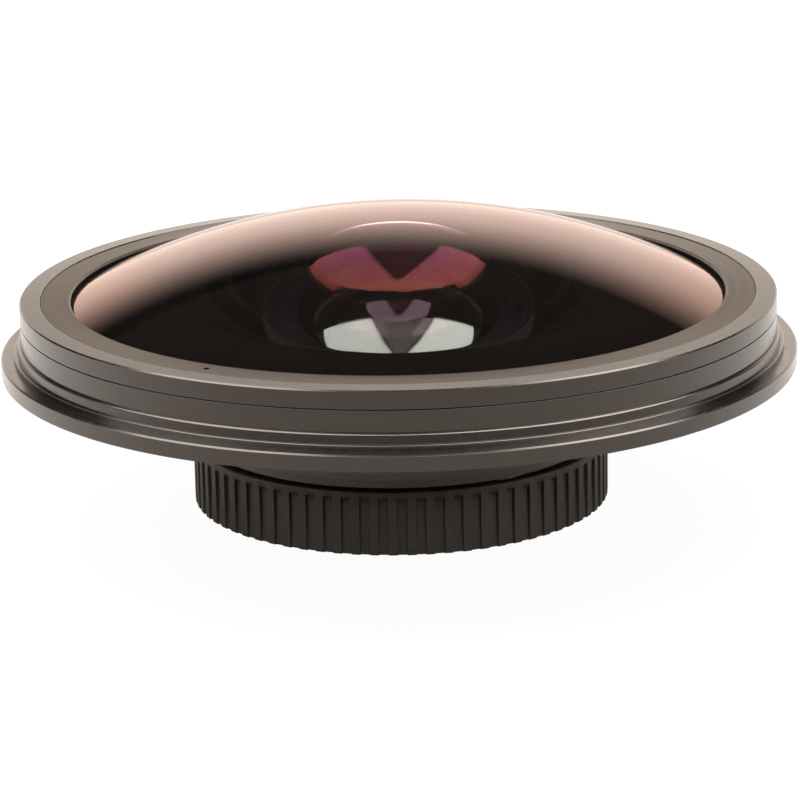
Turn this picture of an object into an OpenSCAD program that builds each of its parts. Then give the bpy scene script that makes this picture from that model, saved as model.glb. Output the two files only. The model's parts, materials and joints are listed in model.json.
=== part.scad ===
// Fisheye conversion lens: a domed front glass in a flanged barrel, an inner cell with the smaller
// elements, a conical rear body and a threaded mount, standing on its ribbed screw-on rear cap.
// Millimetres. The origin is the centre of the cap's underside, and +Z is the optical axis to the front.

/* [Rear cap] */
// Height of the cap from its underside to its open rim
cap_h = 11.9; // [10:0.1:16]
// Thickness of the cap's floor
cap_floor = 1.8; // [1.2:0.1:2.2]
// Wall between the cap's bore and the roots of its grip grooves
cap_wall = 1.6; // [1.2:0.05:2.4]
// Radial room between the mount's thread and the cap's bore, where the cap's own thread lies
cap_room = 0.75; // [0.6:0.05:1.2]
// Depth of the grip grooves
rib_depth = 0.6; // [0.3:0.05:1]
// Number of grip ribs
rib_count = 72; // [36:1:90]
// Width of a grip groove
groove_w = 1.3; // [0.6:0.05:1.5]
// Height of the smooth lip above the ribs
cap_lip = 1.35; // [0.8:0.05:2.5]
// Bevel on the cap's outer edges
cap_bevel = 0.35; // [0.1:0.05:0.5]
// Diameter of the shallow dish in the cap's underside
dish_d = 62; // [40:1:68]
// Depth of that dish
dish_depth = 0.4; // [0.2:0.05:0.6]
// Height from the cap's rim to the mount's shoulder
cap_reveal = 1.8; // [1:0.1:4]

/* [Rear mount] */
// Outside diameter of the mount's thread
thread_d = 72; // [70:0.5:82]
// Width of the shoulder outside the thread
shoulder_w = 2.5; // [1.5:0.1:4]
// Height of the shoulder
shoulder_h = 3.3; // [2.5:0.1:4.5]
// Bevel on the shoulder's lower edge
shoulder_bevel = 0.4; // [0.1:0.05:0.8]
// How far the neck below the shoulder is set in from it
neck_in = 0.85; // [0.85:0.05:1.2]
// Gap between that neck and the cap's rim
neck_gap = 0.3; // [0.2:0.05:0.6]
// Bevel at the thread's free end
thread_bevel = 0.5; // [0.2:0.05:0.8]
// Wall of the threaded tube
mount_wall = 3.5; // [2:0.1:4]
// Length of the spigot that goes up into the rear body
spigot_len = 3.2; // [2.8:0.1:4]
// Diameter of the grub screws that lock the mount
grub_d = 2; // [1.6:0.2:2.4]
// Number of grub screws
grub_count = 3; // [2:1:6]

/* [Rear body] */
// Height from the mount's shoulder to the underside of the flange
hub_h = 9.3; // [8:0.1:13]
// Width of the hub's lower face outside the mount's shoulder
hub_step = 4.5; // [4:0.1:7]
// How much the hub's cone widens up to the plate
hub_flare = 4; // [0:0.1:6]
// Diameter of the plate under the barrel
plate_d = 126; // [118:1:132]
// Thickness of the plate under the barrel
plate_t = 3; // [2.5:0.1:3.6]
// Thickness of the inner ledge that the cell's collar hangs on
ledge_t = 1.2; // [0.8:0.1:1.6]
// Wall of the guide ring that centres the rear body in the barrel
guide_wall = 1.8; // [1.2:0.1:2.5]
// Drop of the guide ring's top below the glass bed
guide_drop = 1.3; // [1.25:0.05:1.7]
// Diameter of the screws between rear body and barrel
body_screw_d = 3; // [2:0.5:3]
// Length of those screws
body_screw_len = 5.2; // [4.5:0.1:5.5]
// Number of those screws
body_screw_count = 6; // [3:1:8]

/* [Barrel] */
// Width of the flange outside the wall
flange_w = 3.8; // [2.5:0.1:8]
// Thickness of the flange
flange_t = 3.15; // [2.5:0.05:3.6]
// Bevel on the flange's upper edge
flange_bevel = 0.45; // [0.1:0.05:0.7]
// Bevel on the flange's lower edge
flange_lower_bevel = 0.3; // [0.1:0.05:0.7]
// Thickness of the floor that carries the front glass
floor_t = 3.2; // [3:0.05:5]
// Thickness of the barrel's wall at the top
wall_t = 1.9; // [1.2:0.1:3]
// Height of the lower ledge above the flange
low_ledge_h = 1; // [0.5:0.05:1.2]
// Width of the lower ledge outside the foot of the upper one
low_ledge_w = 0.4; // [0.4:0.05:0.8]
// Bevel of the lower ledge
low_ledge_bevel = 0.3; // [0.1:0.05:0.35]
// Height of the upper ledge above the lower one
high_ledge_h = 1.8; // [1:0.05:2.4]
// Width of the upper ledge outside the wall
high_ledge_w = 0.55; // [0.45:0.05:1]
// How much the upper ledge widens down to its foot
high_ledge_taper = 0.45; // [0.2:0.05:0.7]
// Bevel of the upper ledge
high_ledge_bevel = 0.4; // [0.1:0.05:0.45]

/* [Front ring] */
// Height of the front ring above the parting line
front_ring_h = 3.3; // [2.4:0.1:4]
// Height of the parting line between front ring and barrel
parting_gap = 0.3; // [0.1:0.05:0.4]
// Length of the front ring's threaded skirt inside the barrel's wall
skirt_len = 3.4; // [2:0.1:3.6]
// Thickness of that skirt
skirt_t = 1.8; // [1.2:0.1:2.5]
// Bevel on the outer edges of the front ring and at the top of the barrel's wall
rim_bevel = 0.2; // [0.05:0.05:0.5]
// Bevel on each side of the fine groove round the retaining ring
groove_bevel = 0.15; // [0.05:0.05:0.3]

/* [Front glass] */
// Diameter of the front glass
glass_d = 130.8; // [126:0.1:140]
// Radius of its domed front
dome_r = 134; // [115:1:170]
// Thickness of the glass at its rim
glass_edge_t = 6.36; // [6:0.02:8]
// Thickness of the glass at its centre
glass_centre_t = 5.5; // [4:0.1:8]
// Radius of its hollow back
hollow_r = 33.5; // [30:0.1:36]
// Radial room round the boss at the back of the glass
boss_room = 0.35; // [0.2:0.05:0.6]
// Gap between that boss and the ring that locks the inner cell
boss_gap = 0.2; // [0.1:0.05:0.4]
// How much that boss widens up to the back of the glass
boss_flare = 2; // [1:0.1:2.1]
// Height over which it widens
boss_flare_h = 1.5; // [1:0.1:1.5]
// How far the retaining ring reaches in over the glass
glass_lip = 4.65; // [2:0.05:6]
// Height of the retaining ring's inner lip above the glass
lip_h = 1; // [0.5:0.05:1.6]
// Diameter of the spanner holes in the retaining ring
spanner_d = 1.1; // [0.8:0.1:2]
// Depth of the spanner holes
spanner_depth = 0.8; // [0.4:0.1:1]
// Direction of the first spanner hole, measured from +X
spanner_turn = -121.3; // [-180:0.1:180]
// Section of the ring that centres the front glass
seal_d = 0.9; // [0.6:0.05:1.4]
// Width of the soft bed under the front glass
bed_w = 6; // [3:0.5:12]
// Thickness of that bed
bed_t = 0.3; // [0.2:0.05:0.6]

/* [Second element] */
// Radius of its domed front
second_dome_r = 53; // [46:0.5:64]
// Radius of its hollow back
second_hollow_r = 24; // [21:0.5:27]
// Thickness of the element at its centre
second_centre_t = 2.45; // [2:0.05:3.5]
// Thickness of the element at its rim
second_edge_t = 1.5; // [1.2:0.1:2.2]
// Thickness of the shim under the element
shim_t = 0.15; // [0.1:0.05:0.4]
// How far its retaining ring reaches in over the element
second_lip = 1.8; // [1.2:0.1:2.6]
// Height of that ring's inner lip above the element
second_lip_h = 0.7; // [0.5:0.05:1.2]

/* [Inner cell] */
// Wall of the cell round the second element
cell_wall = 5.5; // [4.5:0.1:6.5]
// Wall of the cell round the light baffle
cell_top_wall = 1; // [0.8:0.1:1.6]
// Width of the collar that the cell hangs by
collar_w = 4.8; // [4.2:0.1:5.4]
// Thickness of that collar
collar_t = 1.1; // [0.8:0.1:1.5]
// Thickness of the ring that locks the collar down
lock_t = 0.9; // [0.7:0.1:1.3]
// Drop from the collar's seat to the second element's shelf
shelf_drop = 10.55; // [9.6:0.05:11.5]
// Thickness of that shelf
shelf_t = 0.8; // [0.6:0.05:1]
// Width of the shelf, which is also the stop
shelf_w = 7.3; // [6.6:0.1:8]
// Wall of the coned light baffle at its mouth
baffle_t = 0.45; // [0.3:0.05:0.6]
// Width of the spanner slots in the inner rings
slot_w = 2; // [1:0.1:3]
// Depth of those spanner slots
slot_depth = 0.5; // [0.3:0.05:0.6]

/* [Rear doublet] */
// How much smaller its radius is than the second element's
doublet_step = 5.8; // [5:0.1:7]
// Radius of its domed front face
doublet_front_r = 70; // [63:1:80]
// Radius of the cemented face, domed the same way
doublet_joint_r = 60; // [54:1:70]
// Thickness of the front lens at its rim
front_lens_edge_t = 1.6; // [1.4:0.1:2]
// Thickness of the rear lens, whose rear face is flat, at its rim
rear_lens_edge_t = 0.7; // [0.6:0.05:1]
// Length of the spacer in front of the doublet
spacer_len = 0.75; // [0.6:0.05:1]
// Width of the spacer's wall
spacer_w = 1.5; // [1.2:0.1:2]
// How far the rear retaining ring reaches in over the doublet
rear_lip = 1.5; // [1:0.1:2.2]
// Thickness of the rear retaining ring
rear_ring_t = 0.8; // [0.7:0.05:1]
// Drop of the cell's rear edge below the rear retaining ring
cell_reach = 0.2; // [0.1:0.05:0.4]

/* [Clearances] */
// Radial play between turned pieces
fit = 0.1; // [0.04:0.01:0.15]
// Axial play where a piece seats on glass or on the cap's floor
seat = 0.05; // [0.02:0.01:0.1]
// Cement layer in the doublet
cement = 0.02; // [0.01:0.01:0.05]

/* [Hidden] */
$fn = 180;
// A little extra length for cuts that break through a face
over = 1;

// Height of a sphere's crown over the circle of radius r on it
function crown(sphere_r, r) = sphere_r - sqrt(sphere_r * sphere_r - r * r);

// Radii from the axis outward: cap and mount
thread_r = thread_d / 2;
cap_bore_r = thread_r + cap_room;
cap_r = cap_bore_r + cap_wall + rib_depth;
shoulder_r = thread_r + shoulder_w;
neck_r = shoulder_r - neck_in;
spigot_r = thread_r - fit;
hub_r = shoulder_r + hub_step;
hub_top_r = hub_r + hub_flare;
plate_r = plate_d / 2;

// Radii of the inner cell and what it holds, inward from the mount's bore
mount_bore_r = thread_r - mount_wall;
cell_r = mount_bore_r - fit;
second_bore_r = cell_r - cell_wall;
second_r = second_bore_r - fit;
second_lip_r = second_r - second_lip;
stop_r = second_r - shelf_w;
doublet_r = second_r - doublet_step;
cell_bore_r = doublet_r + fit;
spacer_bore_r = doublet_r - spacer_w;
rear_lip_r = doublet_r - rear_lip;
baffle_bore_r = cell_r - cell_top_wall;
baffle_r = baffle_bore_r - fit / 2;
baffle_mouth_r = baffle_r - baffle_t;
collar_r = cell_r + collar_w;
lens_bore_r = cell_r + fit;
guide_r = collar_r + fit + guide_wall;
barrel_bore_r = guide_r + fit;
boss_r = collar_r + fit - boss_room;

// Radii of the front: the wall is built outward from the glass
glass_r = glass_d / 2;
glass_lip_r = glass_r - glass_lip;
pocket_r = glass_r + fit;
ring_bore_r = glass_r + fit + seal_d;
skirt_r = ring_bore_r + skirt_t;
wall_bore_r = skirt_r + fit;
rim_r = wall_bore_r + wall_t;
high_ledge_r = rim_r + high_ledge_w;
ledge_foot_r = high_ledge_r + high_ledge_taper;
low_ledge_r = ledge_foot_r + low_ledge_w;
flange_r = rim_r + flange_w;

// Heights from the ground up: cap, mount, rear body and barrel floor
z_thread_end = cap_floor + seat;
z_neck = cap_h + neck_gap;
z_shoulder = cap_h + cap_reveal;
z_hub = z_shoulder + shoulder_h;
z_spigot = z_hub + spigot_len;
z_flange = z_hub + hub_h;
z_plate = z_flange - plate_t;
z_flange_top = z_flange + flange_t;
z_low_ledge = z_flange_top + low_ledge_h;
z_high_ledge = z_low_ledge + high_ledge_h;
z_floor = z_flange + floor_t;

// Heights of the front glass and the rings that hold it
z_glass = z_floor + bed_t;
z_glass_edge = z_glass + glass_edge_t;
z_dome_centre = z_glass_edge + crown(dome_r, glass_r) - dome_r;
z_glass_lip = z_dome_centre + dome_r - crown(dome_r, glass_lip_r) + seat;
z_top = z_glass_lip + lip_h;
z_parting = z_top - front_ring_h;
z_skirt = z_parting - skirt_len;
z_seal = z_skirt - fit;
z_hollow_centre = z_dome_centre + dome_r - glass_centre_t - hollow_r;

// Heights of the inner cell's seat, with the boss of the front glass above it
z_guide = z_floor - guide_drop;
z_collar = z_spigot + ledge_t;
z_lock = z_collar + collar_t;
z_lock_top = z_lock + lock_t;
z_boss = z_lock_top + boss_gap;

// Heights of the second element, whose shelf lies deep in the cell
z_shelf = z_collar - shelf_drop;
z_second = z_shelf + shim_t;
z_second_edge = z_second + second_edge_t;
z_second_centre = z_second_edge + crown(second_dome_r, second_r) - second_dome_r;
z_second_lip = z_second_centre + second_dome_r - crown(second_dome_r, second_lip_r) + seat;
z_step = z_second_lip + second_lip_h;
z_second_hollow = z_second_centre + second_dome_r - second_centre_t - second_hollow_r;

// Heights of the rear doublet, which lies under the shelf
z_spacer_top = z_shelf - shelf_t;
z_spacer = z_spacer_top - spacer_len;
z_doublet = z_spacer - seat + crown(doublet_front_r, spacer_bore_r);
z_front_lens_edge = z_doublet - crown(doublet_front_r, doublet_r);
z_joint_edge = z_front_lens_edge - front_lens_edge_t;
z_joint_centre = z_joint_edge + crown(doublet_joint_r, doublet_r) - doublet_joint_r;
z_rear_lens = z_joint_edge - rear_lens_edge_t;
z_rear_ring_top = z_rear_lens - seat;
z_rear_ring = z_rear_ring_top - rear_ring_t;
z_cell = z_rear_ring - cell_reach;

// Screws between rear body and barrel, midway across the plate's free face
body_screw_r = (hub_top_r + plate_r) / 2;
body_head_r = body_screw_d * 0.95;
body_head_h = body_head_r - body_screw_d / 2;
body_hole_r = body_screw_d / 2 + fit;

// Grub screws halfway up the mount's spigot, sunk under the hub's face
z_grub = z_hub + spigot_len / 2;
grub_sink = 1;
grub_tip_r = spigot_r + seat;
grub_len = hub_r - grub_sink - grub_tip_r;

// Colours of the finishes
anodised = "#4d4641";
ring_brown = "#6f655c";
blackened = "#242120";
clear_glass = "#7d6660";
cap_black = "#302c28";
rubber = "#191817";
steel = "#55524f";

// Moves its children to count equal places on a circle of radius r
module round_pattern(count, r) {
    for (i = [0:count - 1]) rotate(360 * i / count) translate([r, 0, 0]) children();
}

// Turned ring between two radii and two heights
module plain_ring(inner_r, outer_r, z_low, z_high) {
    rotate_extrude() translate([inner_r, z_low]) square([outer_r - inner_r, z_high - z_low]);
}

// Pair of spanner slots across a ring's face, cut from z_low upward
module spanner_slots(inner_r, outer_r, z_low) {
    round_pattern(2, (inner_r + outer_r) / 2)
        translate([-(outer_r - inner_r) / 2 - over, -slot_w / 2, z_low])
            cube([outer_r - inner_r + 2 * over, slot_w, slot_depth + over]);
}

// Retaining ring with a coned underside that only touches the glass at its inner lip
module coned_ring(inner_r, outer_r, z_lip, z_edge, z_high) {
    rotate_extrude() polygon([
        [inner_r, z_lip], [outer_r, z_edge], [outer_r, z_high], [inner_r, z_high]
    ]);
}

// Glass body of radius r from z_low upward, under a dome centred at z_centre
module domed_profile(dome, z_centre, r, z_low) {
    intersection() {
        translate([0, z_centre]) circle(r = dome);
        translate([0, z_low]) square([r, z_centre + dome - z_low + over]);
    }
}

module front_element() {
    color(clear_glass) rotate_extrude() difference() {
        union() {
            domed_profile(dome_r, z_dome_centre, glass_r, z_glass);
            polygon([
                [0, z_boss], [boss_r, z_boss], [boss_r, z_glass - boss_flare_h],
                [boss_r + boss_flare, z_glass], [boss_r + boss_flare, z_glass + over], [0, z_glass + over]
            ]);
        }
        translate([0, z_hollow_centre]) circle(r = hollow_r);
    }
}

module front_retaining_ring() {
    outer_r = ring_bore_r - fit / 2;
    mid_r = (glass_lip_r + outer_r) / 2;
    color(ring_brown) difference() {
        rotate_extrude() polygon([
            [glass_lip_r, z_glass_lip], [outer_r, z_glass_edge + 2 * fit],
            [outer_r, z_top - groove_bevel], [outer_r - groove_bevel, z_top], [glass_lip_r, z_top]
        ]);
        rotate(spanner_turn) round_pattern(2, mid_r)
            translate([0, 0, z_top - spanner_depth]) cylinder(h = spanner_depth + over, d = spanner_d);
    }
}

module front_ring() {
    color(anodised) rotate_extrude() polygon([
        [ring_bore_r, z_skirt], [skirt_r, z_skirt], [skirt_r, z_parting],
        [rim_r - rim_bevel, z_parting], [rim_r, z_parting + rim_bevel],
        [rim_r, z_top - rim_bevel], [rim_r - rim_bevel, z_top],
        [ring_bore_r + groove_bevel, z_top], [ring_bore_r, z_top - groove_bevel]
    ]);
}

module front_seal() {
    color(rubber) rotate_extrude()
        translate([(glass_r + ring_bore_r) / 2, z_seal + seal_d / 2]) circle(d = seal_d);
}

module glass_bed_washer() {
    color(rubber) plain_ring(glass_r - bed_w, glass_r - fit, z_floor, z_glass);
}

module main_barrel() {
    color(anodised) difference() {
        rotate_extrude() polygon([
            [barrel_bore_r, z_flange], [flange_r - flange_lower_bevel, z_flange],
            [flange_r, z_flange + flange_lower_bevel], [flange_r, z_flange_top - flange_bevel],
            [flange_r - flange_bevel, z_flange_top], [low_ledge_r, z_flange_top],
            [low_ledge_r, z_low_ledge - low_ledge_bevel], [low_ledge_r - low_ledge_bevel, z_low_ledge],
            [ledge_foot_r, z_low_ledge],
            [high_ledge_r, z_high_ledge - high_ledge_bevel], [high_ledge_r - high_ledge_bevel, z_high_ledge],
            [rim_r, z_high_ledge], [rim_r, z_parting - parting_gap - rim_bevel],
            [rim_r - rim_bevel, z_parting - parting_gap], [wall_bore_r, z_parting - parting_gap],
            [wall_bore_r, z_seal], [pocket_r, z_seal], [pocket_r, z_floor], [barrel_bore_r, z_floor]
        ]);
        round_pattern(body_screw_count, body_screw_r)
            translate([0, 0, z_flange - over])
                cylinder(h = body_screw_len - plate_t + fit + seat + over, r = body_hole_r);
    }
}

module rear_body() {
    color(anodised) difference() {
        rotate_extrude() polygon([
            [spigot_r + fit, z_hub], [hub_r, z_hub], [hub_top_r, z_plate], [plate_r, z_plate],
            [plate_r, z_flange], [guide_r, z_flange], [guide_r, z_guide], [collar_r + fit, z_guide],
            [collar_r + fit, z_collar], [lens_bore_r, z_collar], [lens_bore_r, z_spigot],
            [spigot_r + fit, z_spigot]
        ]);
        round_pattern(body_screw_count, body_screw_r) {
            translate([0, 0, z_plate - over]) cylinder(h = plate_t + 2 * over, r = body_hole_r);
            translate([0, 0, z_plate]) cylinder(h = body_head_h, r1 = body_head_r + fit, r2 = body_hole_r);
        }
        round_pattern(grub_count, spigot_r - over)
            translate([0, 0, z_grub]) rotate([0, 90, 0]) cylinder(h = hub_top_r, d = grub_d + 2 * fit);
    }
}

// Countersunk screw with a hexagon socket, head down, its head's face at the origin
module countersunk_screw() {
    socket_r = body_screw_d * 0.38;
    difference() {
        union() {
            cylinder(h = body_head_h, r1 = body_head_r, r2 = body_screw_d / 2);
            cylinder(h = body_screw_len, d = body_screw_d);
        }
        translate([0, 0, -over]) cylinder(h = body_head_h + over, r = socket_r, $fn = 6);
    }
}

module body_screws() {
    color(steel) round_pattern(body_screw_count, body_screw_r)
        translate([0, 0, z_plate + seat]) countersunk_screw();
}

module lens_cell() {
    color(blackened) rotate_extrude() polygon([
        [cell_bore_r, z_cell], [cell_r, z_cell], [cell_r, z_collar], [collar_r, z_collar],
        [collar_r, z_lock], [baffle_bore_r, z_lock], [baffle_bore_r, z_step], [second_bore_r, z_step],
        [second_bore_r, z_shelf], [stop_r, z_shelf], [stop_r, z_spacer_top], [cell_bore_r, z_spacer_top]
    ]);
}

module cell_lock_ring() {
    outer_r = collar_r + fit / 2;
    color(blackened) difference() {
        plain_ring(baffle_mouth_r, outer_r, z_lock, z_lock_top);
        spanner_slots(baffle_mouth_r, outer_r, z_lock_top - slot_depth);
    }
}

// Cone that widens from the second element's ring to the mouth of the cell
module light_baffle() {
    color(blackened) rotate_extrude() polygon([
        [second_lip_r + fit, z_step], [baffle_r, z_step], [baffle_r, z_lock], [baffle_mouth_r, z_lock]
    ]);
}

module second_element() {
    color(clear_glass) rotate_extrude() difference() {
        domed_profile(second_dome_r, z_second_centre, second_r, z_second);
        translate([0, z_second_hollow]) circle(r = second_hollow_r);
    }
}

module second_element_shim() {
    color(rubber) plain_ring(stop_r, second_r, z_shelf, z_second);
}

module second_retaining_ring() {
    outer_r = second_bore_r - fit / 2;
    color(blackened) difference() {
        coned_ring(second_lip_r, outer_r, z_second_lip, z_second_edge + 2 * fit, z_step);
        spanner_slots(second_lip_r, outer_r, z_step - slot_depth);
    }
}

module element_spacer() {
    color(blackened) plain_ring(spacer_bore_r, cell_bore_r - fit / 2, z_spacer, z_spacer_top);
}

// The front lens of the doublet is hollowed by the cemented face
module doublet_front() {
    color(clear_glass) rotate_extrude() difference() {
        domed_profile(doublet_front_r, z_doublet - doublet_front_r, doublet_r, z_joint_edge);
        translate([0, z_joint_centre]) circle(r = doublet_joint_r);
    }
}

module doublet_rear() {
    color(clear_glass) rotate_extrude()
        domed_profile(doublet_joint_r, z_joint_centre - cement, doublet_r, z_rear_lens);
}

module rear_retaining_ring() {
    outer_r = cell_bore_r - fit / 2;
    color(blackened) difference() {
        plain_ring(rear_lip_r, outer_r, z_rear_ring, z_rear_ring_top);
        translate([0, 0, -over]) spanner_slots(rear_lip_r, outer_r, z_rear_ring);
    }
}

module mount_ring() {
    color(anodised) rotate_extrude() polygon([
        [mount_bore_r, z_thread_end], [thread_r - thread_bevel, z_thread_end],
        [thread_r, z_thread_end + thread_bevel], [thread_r, z_neck], [neck_r, z_neck], [neck_r, z_shoulder],
        [shoulder_r - shoulder_bevel, z_shoulder], [shoulder_r, z_shoulder + shoulder_bevel],
        [shoulder_r, z_hub], [spigot_r, z_hub], [spigot_r, z_spigot], [mount_bore_r, z_spigot]
    ]);
}

// Grub screw with a hexagon socket, lying along +X with its tip at the origin
module grub_screw() {
    socket_r = grub_d * 0.29;
    rotate([0, 90, 0]) difference() {
        cylinder(h = grub_len, d = grub_d);
        translate([0, 0, grub_len / 2]) cylinder(h = grub_len, r = socket_r, $fn = 6);
    }
}

module mount_grub_screws() {
    color(steel) round_pattern(grub_count, grub_tip_r) translate([0, 0, z_grub]) grub_screw();
}

// Outline of the ribbed part of the cap: a disc with straight grip grooves round its edge
module ribbed_outline() {
    difference() {
        circle(r = cap_r);
        round_pattern(rib_count, cap_r - rib_depth)
            translate([0, -groove_w / 2]) square([rib_depth + over, groove_w]);
    }
}

module rear_cap() {
    z_lip = cap_h - cap_lip;
    color(cap_black) difference() {
        intersection() {
            union() {
                linear_extrude(z_lip) ribbed_outline();
                translate([0, 0, z_lip]) cylinder(h = cap_lip, r = cap_r);
            }
            rotate_extrude() polygon([
                [0, 0], [cap_r - cap_bevel, 0], [cap_r, cap_bevel],
                [cap_r, cap_h - cap_bevel], [cap_r - cap_bevel, cap_h], [0, cap_h]
            ]);
        }
        translate([0, 0, cap_floor]) cylinder(h = cap_h, r = cap_bore_r);
        translate([0, 0, -over]) cylinder(h = dish_depth + over, d = dish_d);
    }
}

front_element();
front_retaining_ring();
front_ring();
front_seal();
glass_bed_washer();
main_barrel();
rear_body();
body_screws();
lens_cell();
cell_lock_ring();
light_baffle();
second_element();
second_element_shim();
second_retaining_ring();
element_spacer();
doublet_front();
doublet_rear();
rear_retaining_ring();
mount_ring();
mount_grub_screws();
rear_cap();
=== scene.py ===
# Fisheye conversion lens: finishes, fine turned and moulded detail, studio and camera round the frame.
# Outlines are written in millimetres as (radius, height) and become metres when a mesh is made.
import json
import math

import bpy
from mathutils import Matrix, Vector


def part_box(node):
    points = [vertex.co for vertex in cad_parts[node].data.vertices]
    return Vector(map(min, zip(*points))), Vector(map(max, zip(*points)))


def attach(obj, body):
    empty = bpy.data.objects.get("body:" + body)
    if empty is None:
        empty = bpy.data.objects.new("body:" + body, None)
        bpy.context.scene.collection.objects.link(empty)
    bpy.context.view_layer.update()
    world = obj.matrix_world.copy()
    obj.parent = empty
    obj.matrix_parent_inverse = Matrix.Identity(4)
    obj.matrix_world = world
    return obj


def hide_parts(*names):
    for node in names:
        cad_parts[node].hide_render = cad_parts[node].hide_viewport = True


MM = 0.001
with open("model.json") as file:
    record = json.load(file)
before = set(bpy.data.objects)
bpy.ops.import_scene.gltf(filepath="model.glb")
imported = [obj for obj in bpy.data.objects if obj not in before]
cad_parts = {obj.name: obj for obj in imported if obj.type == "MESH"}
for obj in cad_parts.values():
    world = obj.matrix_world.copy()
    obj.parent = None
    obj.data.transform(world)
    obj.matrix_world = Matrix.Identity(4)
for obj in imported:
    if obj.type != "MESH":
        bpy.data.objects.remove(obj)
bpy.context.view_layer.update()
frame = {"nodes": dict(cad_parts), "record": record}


# Sizes taken from the frame
def low(node):
    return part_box(node)[0].z / MM


def high(node):
    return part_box(node)[1].z / MM


def outer(node):
    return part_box(node)[1].x / MM


CAP_R = outer("rear_cap")
CAP_H = high("rear_cap")
THREAD_END = low("mount_ring")
SPIGOT_TOP = high("mount_ring")
SHOULDER_R = outer("mount_ring")
HUB_LOW = low("rear_body")
FLANGE_LOW = low("main_barrel")
FLANGE_R = outer("main_barrel")
BARREL_TOP = high("main_barrel")
RIM_R = outer("front_ring")
SKIRT_LOW = low("front_ring")
TOP = high("front_ring")
HOLDER_R = outer("front_retaining_ring")
GLASS_R = outer("front_element")
GLASS_LOW = low("front_element")
DOME_TOP = high("front_element")
GLASS_SEAT = high("glass_bed_washer")
BAFFLE_R = outer("light_baffle")
BAFFLE_LOW = low("light_baffle")
SECOND_R = outer("second_element")
SECOND_LOW = low("second_element")
SECOND_TOP = high("second_element")
DOUBLET_R = outer("doublet_front")
DOUBLET_TOP = high("doublet_front")
JOINT_EDGE = low("doublet_front")
JOINT_TOP = high("doublet_rear")
REAR_FACE = low("doublet_rear")

# Driving sizes of the parts inside those boxes
FIT = 0.1
CAP_FLOOR = 1.8
CAP_BORE_R = 36.75
CAP_LIP = 1.35
RIB_COUNT = 72
RIB_DEPTH = 0.6
GROOVE_W = 1.7
GROOVE_ROUND = 0.08
FOOT_SHARE = 0.6
CAP_BEVEL = 0.35
CAP_THREAD_DEPTH = 0.55
DISH_R = 31.0
DISH_DEPTH = 0.4
THREAD_R = 36.0
THREAD_PITCH = 0.75
THREAD_DEPTH = 0.45
THREAD_CREST_W = 0.16
MOUNT_THREAD_W = 0.7
CAP_THREAD_W = 0.66
THREAD_SUNK = 0.05
MOUNT_THREAD_START = 0.5
CAP_THREAD_START = 2.2
THREAD_RUNOUT = 0.9
MOUNT_BORE_R = 32.5
SHOULDER_LOW = 13.7
NECK_LOW = 12.2
NECK_R = 37.65
SPIGOT_R = THREAD_R - FIT
GUIDE_R = 39.1
FLOOR_T = 3.2
FLANGE_T = 3.15
FLANGE_BEVEL = 0.28
FLANGE_LOWER_BEVEL = 0.3
LOW_LEDGE_R = 71.6
LOW_LEDGE_H = 1.0
LOW_LEDGE_BEVEL = 0.22
LEDGE_FOOT_R = 70.95
HIGH_LEDGE_R = 70.75
HIGH_LEDGE_H = 1.8
HIGH_LEDGE_BEVEL = 0.42
WALL_BORE_R = 68.3
EDGE_BREAK = 0.03
EDGE_ROUND = 0.08
PARTING_SEEN = 0.18
RIM_BEVEL = 0.25
RIM_SLOPE = 0.12
GROOVE_BEVEL = 0.15
SKIRT_R = 68.2
RING_BORE_R = GLASS_R + 1.0
GLASS_LIP_R = 60.75
GLASS_LIP_H = 1.0
HOLDER_BEVEL = 0.42
HOLDER_SLOPE = 0.12
SPANNER_D = 1.1
SPANNER_DEPTH = 0.8
SPANNER_TOOL_H = 2.0
SPANNER_TURN = math.radians(-121.3)
DOME_R = 134.0
HOLLOW_R = 33.5
GLASS_CENTRE_T = 5.5
BOSS_R = 36.95
BOSS_FLARE = 2.0
BOSS_FLARE_H = 1.5
SECOND_DOME_R = 53.0
SECOND_HOLLOW_R = 24.0
SECOND_CENTRE_T = 2.45
SECOND_LIP_R = 25.0
BAFFLE_MOUTH_R = 30.9
BAFFLE_STEPS = 13
DOUBLET_FRONT_R = 70.0
DOUBLET_JOINT_R = 60.0
GLASS_IOR = 1.62

# Mesh fineness: parts round a turned ring, steps along the arc of a lens face, and the angle of a sharp edge
SEGMENTS = 360
LENS_STEPS = 96
SHARP_DEG = 35
SAME_POINT = 1e-6


# Outlines
def crown(sphere_r, r):
    return sphere_r - math.sqrt(sphere_r * sphere_r - r * r)


def rounded(corners, steps=4):
    """Closed outline through (r, z, fillet) corners, with an arc at each corner that has a fillet.

    A narrow strip beside each arc keeps the flat next to it evenly shaded. A fillet takes at most the share
    alone of an edge, or the share paired where the edge's other end has a fillet too.
    """
    points = []
    strip = 0.01
    alone, paired = 0.92, 0.48
    count = len(corners)
    for i, (r, z, fillet) in enumerate(corners):
        here = Vector((r, z))
        if fillet == 0:
            points.append((r, z))
            continue
        before = Vector(corners[i - 1][:2]) - here
        after = Vector(corners[(i + 1) % count][:2]) - here
        half = before.angle(after) / 2
        room_before = before.length * (paired if corners[i - 1][2] else alone)
        room_after = after.length * (paired if corners[(i + 1) % count][2] else alone)
        reach = min(fillet / math.tan(half), room_before, room_after)
        radius = reach * math.tan(half)
        middle = here + (before.normalized() + after.normalized()).normalized() * radius / math.sin(half)
        start = here + before.normalized() * reach - middle
        end = here + after.normalized() * reach - middle
        sweep = start.angle_signed(end)
        points.append(tuple(here + before.normalized() * (reach + strip)))
        for k in range(steps + 1):
            turn = -sweep * k / steps
            points.append(tuple(middle + Matrix.Rotation(turn, 2) @ start))
        points.append(tuple(here + after.normalized() * (reach + strip)))
    return points


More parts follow.
